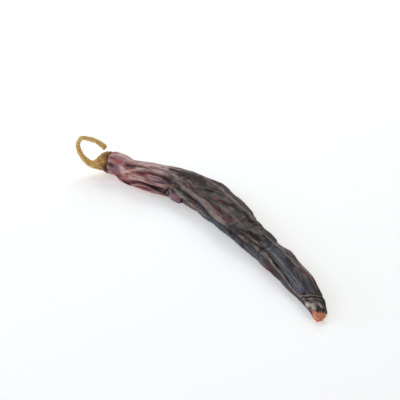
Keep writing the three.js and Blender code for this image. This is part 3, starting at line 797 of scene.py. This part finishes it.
def buildStem():
    line = np.array(stem["line"], float)
    gap = np.linalg.norm(np.diff(line, axis=0), axis=1)
    keys = np.column_stack([np.concatenate([[0], np.cumsum(gap)]) / gap.sum(), line])
    run = np.linspace(0, 1, stem["rings"])
    middle = alongAll(keys, run)
    tangent = unit(np.gradient(middle, axis=0))
    sideways = np.array([-seatAhead[1], seatAhead[0], 0])
    angle = 2 * np.pi * np.arange(stem["around"]) / stem["around"]
    cosine, sine = np.cos(angle), np.sin(angle)
    teeth, ribs, stalk, dent = stem["teeth"], stem["calyxRibs"], stem["stalkRibs"], stem["dent"]
    broken = stem["brokenEnd"]
    draw = np.random.default_rng(seed + 1)
    ragged = sum(draw.uniform(0.2, 1) / wave * np.cos(wave * 3 * angle + draw.uniform(0, 6))
                 for wave in range(1, 6))
    tooth = teeth["length"] * np.cos(teeth["count"] * angle + 0.6) + teeth["ragged"] * ragged
    rings = []
    # the cup that the pod's shoulder sits in, from its middle to the lip
    for share in np.linspace(0.08, 1, stem["cupRings"]):
        station = np.array([stem["cupDepth"] * share])
        radius = pod["seatRadius"] * endRounding(station)[0] + stem["cupGap"]
        points = podPlace(station, (radius * cosine)[None], (pod["seatHeight"] + radius * sine)[None])[0]
        points[:, :2] += seatAhead * (tooth * share**4)[:, None]
        rings.append(points)
    outline = []
    for ring, at in enumerate(run):
        sideways = unit(sideways - tangent[ring] * sideways.dot(tangent[ring]))
        upwards = -np.cross(tangent[ring], sideways)
        wide, high = alongAll(stem["widths"], np.array([at]))[0]
        ribbed = ribs["height"] * (1 - smoothStep(at, *ribs["ends"])) * smoothStep(at, *ribs["begins"])
        bulge = ribbed * np.cos(ribs["count"] * angle + ribs["twist"] * at)
        turned = stalk["count"] * (angle + stalk["twist"] * at)
        ribbed = wide * stalk["share"] * smoothStep(at, *stalk["begins"])
        bulge = bulge + ribbed * (np.abs(np.cos(turned / 2)) - 0.6)
        aside = (np.degrees(angle) - dent["angle"]) / dent["wide"]
        away = np.hypot((at - dent["at"]) / dent["long"], aside)
        bulge = bulge - dent["depth"] * smoothStep(away, *dent["edge"])
        for place, share, spread in stem["knobs"]:
            bulge = bulge + wide * share * bell(at, place, spread)
        spokes = sideways * cosine[:, None] * (wide + bulge)[:, None]
        spokes = spokes + upwards * sine[:, None] * (high + bulge)[:, None]
        lengthways = -tangent[ring] * (tooth * (1 - smoothStep(at, 0, teeth["reach"])))[:, None]
        outline.append(middle[ring] + spokes + lengthways)
    # rounds the lip over from the cup to the outside
    inner, outer = rings[-1], outline[0]
    for step in range(1, stem["lipRings"]):
        swing = np.pi * step / stem["lipRings"]
        over = inner + (outer - inner) * (1 - np.cos(swing)) / 2
        rings.append(over - tangent[0] * stem["lip"] * np.sin(swing))
    cap = []
    end, centre = outline[-1], middle[-1]
    for step in range(1, stem["endRings"]):
        share = step / stem["endRings"]
        rough = draw.normal(0, broken["rough"], len(angle)) * share * (1 - share) * 4
        out = broken["out"] * np.sin(share * np.pi) + rough
        cap.append(centre + (end - centre) * (1 - share) + tangent[-1] * out[:, None])
    body = np.array([*rings, *outline, *cap])
    first = [*seatMiddle - seatAhead * stem["cupGap"], pod["seatHeight"]]
    rows = tubeRows(body, first, centre - tangent[-1] * broken["sunk"])
    piece = addTube("calyxAndStem", rows, len(body), len(angle))
    mesh = piece.data
    counts = (len(rings), len(run), len(cap))
    length = np.concatenate([np.zeros(len(rings)), run, np.ones(len(cap))])
    addMask(mesh, "run", tubeValues(np.repeat(length, len(angle)), 0, 1))
    addMask(mesh, "broken", tubeValues(np.repeat(np.repeat((0, 0, 1.0), counts), len(angle)), 0, 1))
    inside = tubeValues(np.repeat(np.repeat((1.0, 0, 0), counts), len(angle)), 1, 0)
    # the stem unrolled on a straight rod, so that the grain runs along it
    lumps, grain = stem["lumps"], stem["grain"]
    rod = (length[:, None] * gap.sum(), grain["radius"] * cosine, grain["radius"] * sine)
    rod = tubeRows(np.stack(np.broadcast_arrays(*rod), -1), np.zeros(3), np.zeros(3))
    for axis, name in enumerate(("length", "side", "height")):
        addMask(mesh, name, rod[:, axis])
    points, normals = readPoints(mesh), readNormals(mesh)
    relief = lumps["size"] * ridged(points, lumps["scale"], 1)
    relief += grain["size"] * ridged(rod, grain["scale"], grain["stretch"])
    relief = (relief - relief.mean()) * (1 - inside)
    setPoints(mesh, points + normals * relief[:, None])
    addMask(mesh, "sharp", foldSharpness(mesh))
    return piece


calyxAndStem = buildStem()
calyxAndStem.data.transform(Matrix.Translation(origin))
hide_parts("calyx_and_stem")
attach(calyxAndStem, "root")
print("calyx and stem built with", len(calyxAndStem.data.polygons), "faces")


class Wire:  # a socket that adds its own Math nodes
    def __init__(self, paint, socket):
        self.paint = paint
        self.socket = socket

    def maths(self, operation, *values):
        return self.paint.node("ShaderNodeMath", {"operation": operation}, dict(enumerate(values)))

    def __add__(self, other):
        return self.maths("ADD", self, other)

    def __sub__(self, other):
        return self.maths("SUBTRACT", self, other)

    def __rsub__(self, other):
        return self.maths("SUBTRACT", other, self)

    def __mul__(self, other):
        return self.maths("MULTIPLY", self, other)

    __radd__ = __add__
    __rmul__ = __mul__

    def between(self, low, high):  # 0 below low, 1 above high
        return self.paint.node("ShaderNodeMapRange", {"interpolation_type": "SMOOTHSTEP"},
                               {"Value": self, "From Min": low, "From Max": high})


class Paint:
    def __init__(self, name, colours, ground):
        self.colours = colours
        self.colour = ground
        self.material = bpy.data.materials.new(name)
        self.material.use_nodes = True
        self.tree = self.material.node_tree
        self.tree.nodes.clear()

    def node(self, kind, settings=None, sockets=None, output=0):
        made = self.tree.nodes.new(kind)
        for key, value in (settings or {}).items():
            setattr(made, key, value)
        for key, value in (sockets or {}).items():
            if isinstance(value, Wire):
                self.tree.links.new(value.socket, made.inputs[key])
            else:
                made.inputs[key].default_value = value
        return Wire(self, made.outputs[output]) if made.outputs else None

    def mask(self, name):
        return self.node("ShaderNodeAttribute", {"attribute_name": name}, {}, "Fac")

    # stretch below 1 draws the pattern out along the piece
    def noise(self, stretch, scale, detail=3, roughness=0.55):
        where = {0: self.mask("length") * stretch, 1: self.mask("side"), 2: self.mask("height")}
        return self.node("ShaderNodeTexNoise", {}, {
            "Vector": self.node("ShaderNodeCombineXYZ", {}, where),
            "Scale": scale, "Detail": detail, "Roughness": roughness})

    # colours are names from the list, or wires
    def mix(self, factor, first, second):
        first, second = ((*self.colours[colour], 1) if isinstance(colour, str) else colour
                         for colour in (first, second))
        return self.node("ShaderNodeMix", {"data_type": "RGBA"}, {0: factor, 6: first, 7: second}, 2)

    # lays a colour over what is painted so far
    def over(self, factor, colour):
        self.colour = self.mix(factor, self.colour, colour)

    def bump(self, height, distance, strength, **under):
        return self.node("ShaderNodeBump", {}, {"Height": height, "Distance": distance,
                                                "Strength": strength, **under})

    def finish(self, **sockets):
        named = {key.replace("_", " "): value for key, value in sockets.items()}
        shader = self.node("ShaderNodeBsdfPrincipled", {}, {"Base Color": self.colour, **named})
        self.node("ShaderNodeOutputMaterial", {}, {"Surface": shader})
        return self.material


# colours of the skin; the bloom, the ash, the pale and the shine also stand for painted sheen and
# highlights, the slate and the steel for a painted bluish sheen, and the shade for painted shade in
# grooves
skinColours = {
    "dark": (0.014, 0.0075, 0.008),
    "wine": (0.06, 0.012, 0.016),
    "shade": (0.008, 0.005, 0.006),
    "bloomAndSheen": (0.25, 0.185, 0.155),
    "taupe": (0.075, 0.052, 0.045),
    "ashAndHighlight": (0.36, 0.275, 0.225),
    "slateAndSheen": (0.085, 0.088, 0.108),
    "thin": (0.46, 0.17, 0.17),
    "paleHighlight": (0.75, 0.52, 0.45),
    "shine": (0.85, 0.78, 0.66),
    "brown": (0.1, 0.035, 0.02),
    "rose": (0.46, 0.07, 0.09),
    "crimson": (0.15, 0.016, 0.025),
    "amber": (0.45, 0.14, 0.06),
    "plum": (0.13, 0.05, 0.08),
    "lilac": (0.34, 0.2, 0.27),
    "steelAndSheen": (0.135, 0.138, 0.17),
    "torn": (0.78, 0.26, 0.12),
    "fibre": (0.85, 0.55, 0.4),
}


# mm from the seat over which the dull body sets in, and over which the smoother tail does
bodyBegins = (24, 48)
tailBegins = (84, 106)


def podPaint():
    paint = Paint("podSkin", skinColours, "dark")
    length = paint.mask("length")
    patch = paint.noise(0.4, 0.3, 4)
    cloud = paint.noise(1, 0.16)
    speck = paint.noise(1, 1.3, 5)
    ragged = paint.noise(0.6, 0.7, 3, 0.5).between(0.34, 0.62)
    blotch = paint.noise(0.4, 0.42)
    streak = paint.noise(0.25, 2.4)
    sharp = paint.mask("sharp")
    ridge = sharp.between(0.03, 0.36)
    groove = (0 - sharp).between(0.02, 0.24)
    thin = paint.mask("thin") * (0.55 + 0.45 * patch.between(0.35, 0.6))
    paint.over(patch.between(0.45, 0.7) * 0.8, "wine")
    paint.over(cloud.between(0.45, 0.65) * speck.between(0.3, 0.6) * 0.6, "taupe")
    # a pale bloom on the ridges that also stands for their painted sheen
    paint.over(ridge * 0.85 * speck.between(0.25, 0.5), "bloomAndSheen")
    # the pink of the thin skin is held back in the grooves, a painted shade
    paint.over(thin * (1 - groove * 0.6), "thin")
    beyondSeat, tail = length.between(*bodyBegins), length.between(*tailBegins)
    body = beyondSeat * (1 - tail)
    # pale ash blotches at random over the body
    paint.over(body * blotch.between(0.5, 0.66) * 0.34, "ashAndHighlight")
    paint.over(body * (1 - blotch.between(0.36, 0.5)) * 0.8, "dark")
    # the stains, among them painted highlights, a painted bluish sheen and painted shade lines
    for name in stains:
        whole = 0.85 if name in ("slateAndSheen", "steelAndSheen", "shine") else 0.45
        paint.over(paint.mask(name) * (whole + (1 - whole) * ragged), name)
    # painted highlights on the ridges of the thin skin
    paint.over(thin * ridge * 0.8, "paleHighlight")
    # painted shade in the grooves
    paint.over(groove * 0.85 * (1 - 0.65 * thin), "shade")
    paint.over(paint.mask("torn"), paint.mix(streak.between(0.45, 0.75) * 0.8, "torn", "fibre"))
    dull = beyondSeat * (1 - 0.6 * tail)
    rough = 0.3 + 0.12 * speck + 0.14 * dull + 0.2 * paint.mask("torn")
    relief = paint.bump(paint.noise(1, 1.2, 4, 0.5), 0.0002, 0.3)
    return paint.finish(Roughness=rough, Specular_IOR_Level=0.27, Normal=relief,
                        Coat_Weight=0.28 - 0.22 * dull, Coat_Roughness=0.18)


stemColours = {
    "straw": (0.94, 0.66, 0.24),
    "tan": (0.82, 0.46, 0.14),
    "gold": (0.58, 0.31, 0.075),
    "amber": (0.27, 0.11, 0.022),
    "brown": (0.2, 0.08, 0.028),
    "dark": (0.055, 0.022, 0.013),
}


def stemPaint():
    paint = Paint("calyxAndStem", stemColours, "straw")
    streak = paint.noise(0.2, 1.2, 4, 0.6)
    patch = paint.noise(0.5, 0.45)
    speck = paint.noise(1, 2.6, 3, 0.6)
    groove = (0 - paint.mask("sharp")).between(0.02, 0.4)
    run = paint.mask("run")
    calyx = 1 - run.between(0.08, 0.26)
    paint.over(patch.between(0.42, 0.62) * 0.85, "tan")
    paint.over(calyx * 0.95, paint.mix(streak.between(0.42, 0.6) * 0.9, "gold", "amber"))
    paint.over(streak.between(0.56, 0.74) * (0.12 + 0.4 * calyx), "brown")
    paint.over(speck.between(0.62, 0.74) * 0.4, "brown")
    # painted shade in the grooves
    paint.over(groove * 0.35, "brown")
    # painted shade: the calyx is browner on its underside
    under = (0 - paint.mask("height") - paint.mask("side") * 0.6).between(-0.5, 2.5)
    paint.over(calyx * under * 0.4, "brown")
    # the lip's own dark rim, wider and darker on the underside as painted shade
    rim = 1 - run.between(0.005, 0.02 + 0.05 * under)
    paint.over(rim * (0.35 + 0.65 * under) * (0.5 + patch), "dark")
    paint.over(paint.mask("broken") * 0.6, "dark")
    relief = paint.bump(speck, 0.0002, 0.4, Normal=paint.bump(streak, 0.0004, 0.4))
    return paint.finish(Roughness=0.5 + 0.2 * streak, Specular_IOR_Level=0.3, Normal=relief)


podSkin.data.materials.append(podPaint())
calyxAndStem.data.materials.append(stemPaint())
print("pod and stem painted")


def buildFloor():
    size = 3.0
    mesh = bpy.data.meshes.new("floor")
    mesh.from_pydata([(-size, -size, 0), (size, -size, 0), (size, size, 0), (-size, size, 0)], [],
                     [(0, 1, 2, 3)])
    floor = addObject("floor", mesh)
    paint = Paint("floor", {}, (0.9, 0.9, 0.89, 1))
    mesh.materials.append(paint.finish(Roughness=0.7, Emission_Color=(1, 1, 0.985, 1),
                                       Emission_Strength=0.36))


def buildCamera():
    turn, rise = math.radians(view["azimuth"]), math.radians(view["elevation"])
    back = Vector((math.sin(turn) * math.cos(rise), -math.cos(turn) * math.cos(rise), math.sin(rise)))
    data = bpy.data.cameras.new("camera")
    data.lens = view["lens"]
    data.sensor_width = view["sensor"]
    camera = addObject("camera", data)
    camera.rotation_euler = back.to_track_quat("Z", "Y").to_euler()
    right = Vector((math.cos(turn), math.sin(turn), 0))
    up = back.cross(right)
    # the ray through the seat's pixel passes through the seat
    reach = view["frame"] * view["lens"] / view["sensor"]
    offset = (view["seatPixel"][0] - view["frame"] / 2, view["frame"] / 2 - view["seatPixel"][1])
    ray = (right * offset[0] + up * offset[1] - back * reach)
    seat = origin + Vector((0, 0, view["seatUp"] * mm))
    camera.location = seat - ray * (view["seatDepth"] * mm / reach)
    bpy.context.scene.camera = camera


# square lamps that look at the middle, in metres and watts
lights = {
    "key": {"place": (-0.74, 0.67, 0.84), "size": 0.8, "power": 6.5, "colour": (1, 0.97, 0.94)},
    "side": {"place": (-0.95, -0.75, 0.35), "size": 0.9, "power": 8, "colour": (0.78, 0.86, 1)},
}
sky = {"Color": (0.95, 0.97, 1.0, 1), "Strength": 0.38}


def addLight(name, place, size, power, colour):
    data = bpy.data.lights.new(name, "AREA")
    data.shape = "SQUARE"
    data.size = size
    data.energy = power
    data.color = colour
    light = addObject(name, data)
    light.location = place
    light.rotation_euler = Vector(place).to_track_quat("Z", "Y").to_euler()


buildFloor()
buildCamera()
for name, light in lights.items():
    addLight(name, **light)
world = bpy.data.worlds.new("world")
bpy.context.scene.world = world
world.use_nodes = True
for key, value in sky.items():
    world.node_tree.nodes["Background"].inputs[key].default_value = value
bpy.context.scene.view_settings.view_transform = "Standard"
print("floor, camera and lights set")
